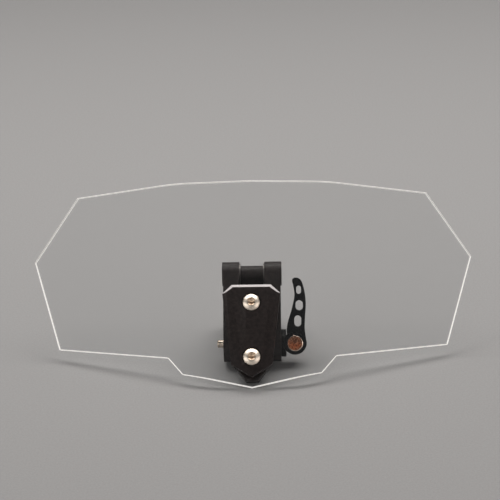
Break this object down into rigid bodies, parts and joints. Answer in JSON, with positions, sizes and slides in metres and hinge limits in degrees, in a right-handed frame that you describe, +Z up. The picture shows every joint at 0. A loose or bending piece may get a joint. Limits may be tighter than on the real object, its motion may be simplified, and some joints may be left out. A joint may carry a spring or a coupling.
{
  "type": "motorcycle windshield extension screen",
  "caption": "Bent clear screen on a black two-hinge bracket with a quick-release lever and a screw clamp that grips the edge of a windshield.",
  "frame": {"origin": "centre of the fixed jaw pad's face, where the front of a windshield rests", "axes": "+X along the screen's width, towards the quick-release lever; +Y out of the fixed pad, towards the rider; +Z up, out of the windshield's top edge"},
  "size_m": [0.275, 0.1027, 0.1032],
  "materials": {
    "black_aluminium": "satin",
    "black_lever": "gloss",
    "black_steel": "satin",
    "stainless": "satin",
    "zinc": "gloss",
    "copper": "satin",
    "black_plastic": "satin",
    "rubber": "matte",
    "clear_sheet": "gloss"
  },
  "bodies": {
    "clamp": {"clamp_body": "black_aluminium", "fixed_pad": "rubber"},
    "jaw": {"pressure_plate": "black_aluminium", "moving_pad": "rubber"},
    "left_screw": {"clamp_screw_left": "stainless"},
    "right_screw": {"clamp_screw_right": "stainless"},
    "arm": {"link_arm": "black_aluminium", "pivot_bolt": "black_steel", "pivot_nut": "zinc", "pivot_washers": "stainless", "tilt_washers": "stainless"},
    "quick_release": {"qr_rod": "zinc", "cup_washer": "black_plastic", "cam_barrel": "copper"},
    "lever": {"cam_lever": "black_lever"},
    "shield": {"screen_holder": "black_aluminium", "rear_gasket": "rubber", "screen": "clear_sheet", "front_gasket": "rubber", "front_plate": "black_aluminium", "plate_screws": "stainless"}
  },
  "joints": [
    {"name": "jaw_slide", "type": "slide", "parent": "clamp", "child": "jaw", "axis": [0, -1, 0], "range_m": [-0.0032, 0.0065]},
    {"name": "left_screw_turn", "type": "hinge", "parent": "jaw", "child": "left_screw", "pos_m": [-0.009, 0.02, -0.001], "axis": [0, -1, 0], "range_deg": [-1450, 2930]},
    {"name": "right_screw_turn", "type": "hinge", "parent": "jaw", "child": "right_screw", "pos_m": [0.009, 0.02, -0.001], "axis": [0, -1, 0], "range_deg": [-1450, 2930]},
    {"name": "arm_tilt", "type": "hinge", "parent": "clamp", "child": "arm", "pos_m": [0, -0.0065, 0.0365], "axis": [-1, 0, 0], "range_deg": [0, 95]},
    {"name": "screen_tilt", "type": "hinge", "parent": "arm", "child": "shield", "pos_m": [0, -0.03145, 0.00087], "axis": [1, 0, 0], "range_deg": [0, 110]},
    {"name": "lever_clocking", "type": "hinge", "parent": "arm", "child": "quick_release", "pos_m": [0, -0.03145, 0.00087], "axis": [1, 0, 0], "range_deg": [-210, 0]},
    {"name": "lever_cam", "type": "hinge", "parent": "quick_release", "child": "lever", "pos_m": [0.026, -0.03145, 0.00087], "axis": [0, 0.9272, -0.3746], "range_deg": [0, 90]}
  ],
  "couplings": [
    {"joint": "left_screw_turn", "follows": "jaw_slide", "rad_per_m": 7854},
    {"joint": "right_screw_turn", "follows": "jaw_slide", "rad_per_m": 7854}
  ]
}
